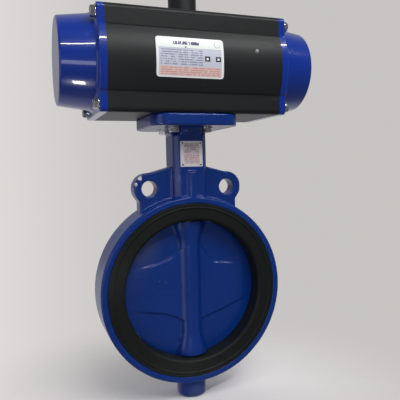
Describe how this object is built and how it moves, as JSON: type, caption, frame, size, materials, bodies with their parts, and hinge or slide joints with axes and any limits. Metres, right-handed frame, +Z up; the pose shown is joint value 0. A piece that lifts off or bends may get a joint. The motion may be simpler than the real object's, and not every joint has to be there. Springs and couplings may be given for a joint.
{
  "type": "pneumatic actuated valve",
  "caption": "Wafer butterfly valve with a rubber seat, turned a quarter by a rack-and-pinion pneumatic actuator with domed end caps.",
  "frame": {"origin": "centre of the valve bore, on the disc's axis", "axes": "+Z up the stem to the actuator, +X along the actuator's cylinder, Y along the pipe, -Y is the side with the label"},
  "size_m": [0.357, 0.1553, 0.579],
  "materials": {
    "blue_casting": "glossy enamel over a sand casting",
    "blue_cap": "glossy powder coat over die casting",
    "seat_rubber": "satin moulded rubber",
    "seal_rubber": "matt rubber",
    "bearing_plastic": "moulded acetal",
    "black_anodised": "black anodised extrusion, satin",
    "stainless_fastener": "bright stainless steel",
    "machined_steel": "turned steel",
    "piston_aluminium": "die-cast aluminium",
    "spring_steel": "coated spring steel",
    "plug_brass": "plated brass",
    "label_film": "printed polyester film",
    "nameplate_metal": "satin plate",
    "indicator_black": "moulded black plastic",
    "indicator_yellow": "moulded yellow plastic"
  },
  "bodies": {
    "housing": {"actuator_body": "black_anodised", "actuator_label": "label_film", "bottom_gasket": "seal_rubber", "bottom_plug": "machined_steel", "flange_bolts": "stainless_fastener", "flange_washers": "stainless_fastener", "gallery_plugs": "plug_brass", "left_cap_bolts": "stainless_fastener", "left_cap_seal": "seal_rubber", "left_cap_washers": "stainless_fastener", "left_end_cap": "blue_cap", "left_springs": "spring_steel", "lower_bush": "bearing_plastic", "middle_bush": "bearing_plastic", "nameplate_rivets": "stainless_fastener", "neck_nameplate": "nameplate_metal", "pinion_lower_bearing": "bearing_plastic", "pinion_lower_seal": "seal_rubber", "pinion_thrust_washer": "bearing_plastic", "pinion_upper_bearing": "bearing_plastic", "pinion_upper_seal": "seal_rubber", "right_cap_bolts": "stainless_fastener", "right_cap_seal": "seal_rubber", "right_cap_washers": "stainless_fastener", "right_end_cap": "blue_cap", "right_springs": "spring_steel", "seat_liner": "seat_rubber", "stem_seals": "seal_rubber", "stop_bolts": "stainless_fastener", "stop_lock_nuts": "stainless_fastener", "stop_seals": "seal_rubber", "upper_bush": "bearing_plastic", "valve_body": "blue_casting"},
    "rotor": {"disc": "blue_casting", "upper_stem": "machined_steel", "lower_stem": "machined_steel", "stem_snap_ring": "machined_steel", "pinion": "machined_steel", "pinion_snap_ring": "machined_steel", "indicator_cap": "indicator_black", "indicator_pointers": "indicator_yellow", "indicator_screw": "stainless_fastener"},
    "left_piston": {"left_piston": "piston_aluminium", "left_piston_band": "bearing_plastic", "left_piston_seal": "seal_rubber", "left_rack_pad": "bearing_plastic"},
    "right_piston": {"right_piston": "piston_aluminium", "right_piston_band": "bearing_plastic", "right_piston_seal": "seal_rubber", "right_rack_pad": "bearing_plastic"}
  },
  "joints": [
    {"name": "valve_turn", "type": "hinge", "parent": "housing", "child": "rotor", "pos_m": [0, 0, 0], "axis": [0, 0, 1], "range_deg": [0, 90]},
    {"name": "left_piston_slide", "type": "slide", "parent": "housing", "child": "left_piston", "axis": [-1, 0, 0], "range_m": [0, 0.0315], "deforming": ["left_springs"]},
    {"name": "right_piston_slide", "type": "slide", "parent": "housing", "child": "right_piston", "axis": [1, 0, 0], "range_m": [0, 0.0315], "deforming": ["right_springs"]}
  ],
  "couplings": [
    {"joint": "left_piston_slide", "follows": "valve_turn", "m_per_rad": 0.02},
    {"joint": "right_piston_slide", "follows": "valve_turn", "m_per_rad": 0.02}
  ]
}
